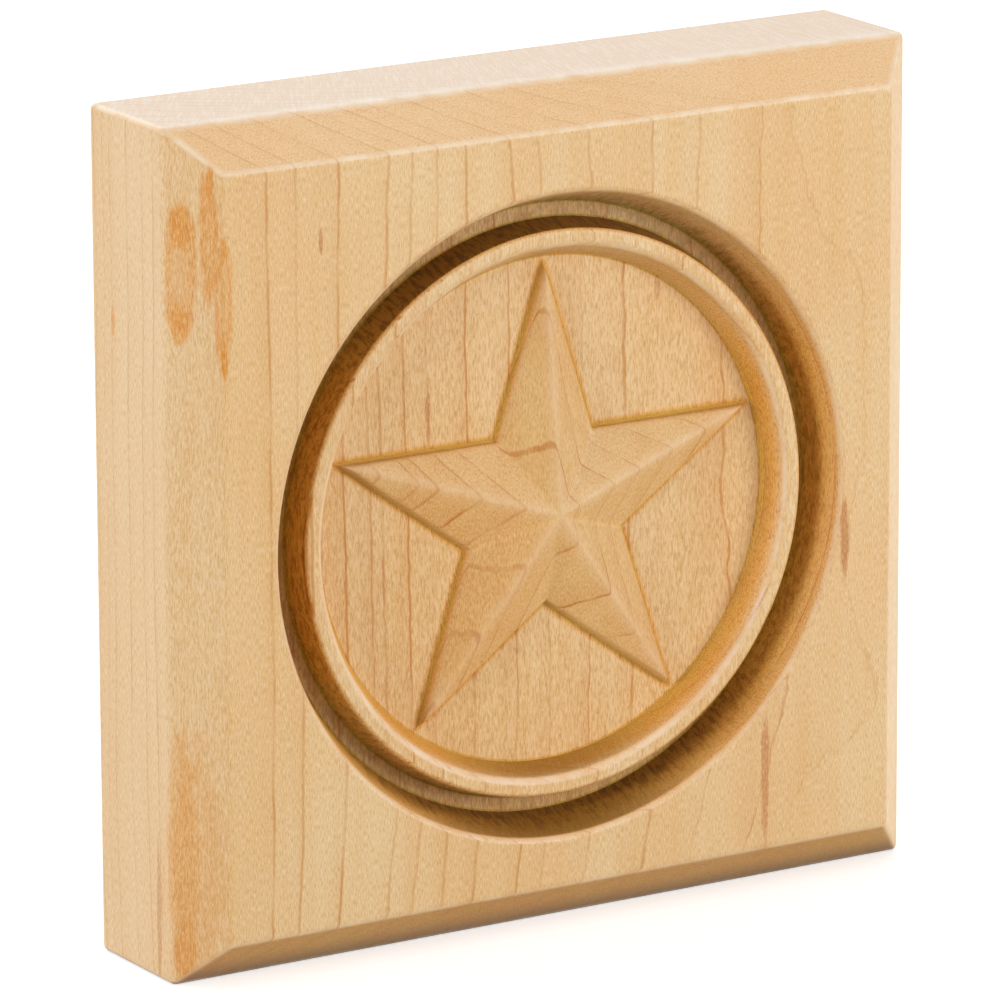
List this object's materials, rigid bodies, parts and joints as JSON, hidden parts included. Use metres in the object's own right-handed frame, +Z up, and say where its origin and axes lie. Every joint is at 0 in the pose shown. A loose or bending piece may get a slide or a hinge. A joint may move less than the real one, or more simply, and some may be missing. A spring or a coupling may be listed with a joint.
{
  "type": "corner rosette block",
  "caption": "Square solid wood corner block for door and window casing, with bevelled front edges and a turned groove and ring around a carved star.",
  "frame": {"origin": "under the middle of the block, on the surface that its lower edge stands on", "axes": "+Z up along the grain, +X to the right across the face, the carved front looks along -Y"},
  "size_m": [0.0888, 0.019, 0.0889],
  "materials": {
    "maple": "sanded hard maple, clear satin"
  },
  "bodies": {
    "root": {"rosette_block": "maple"}
  },
  "joints": []
}
